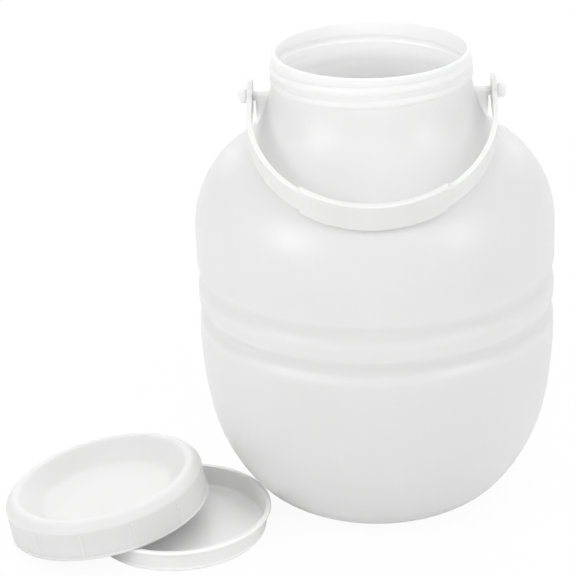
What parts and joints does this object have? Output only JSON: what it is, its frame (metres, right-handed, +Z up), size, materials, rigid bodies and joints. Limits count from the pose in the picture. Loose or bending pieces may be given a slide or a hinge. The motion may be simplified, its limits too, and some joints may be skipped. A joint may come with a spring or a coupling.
{
  "type": "fermentation jar",
  "caption": "Wide-mouth round-shouldered plastic fermentation jar with a swinging carry handle, its screw cap and inner dish lid lying beside it.",
  "frame": {"origin": "centre of the jar's base, on the ground", "axes": "+Z up along the jar's axis; the handle's pegs lie along X and the handle rests towards -Y, the front; the loose cap and inner lid lie towards -X"},
  "size_m": [0.3122, 0.2059, 0.2646],
  "materials": {
    "body_plastic": "satin, slightly translucent",
    "handle_plastic": "satin",
    "cap_plastic": "satin",
    "lid_plastic": "satin"
  },
  "bodies": {
    "jar_body": {"jar": "body_plastic", "screw_cap": "cap_plastic", "inner_lid": "lid_plastic"},
    "bail": {"handle": "handle_plastic"}
  },
  "joints": [
    {"name": "handle_swing", "type": "hinge", "parent": "jar_body", "child": "bail", "pos_m": [0, 0, 0.2388], "axis": [-1, 0, 0], "range_deg": [0, 219]}
  ]
}
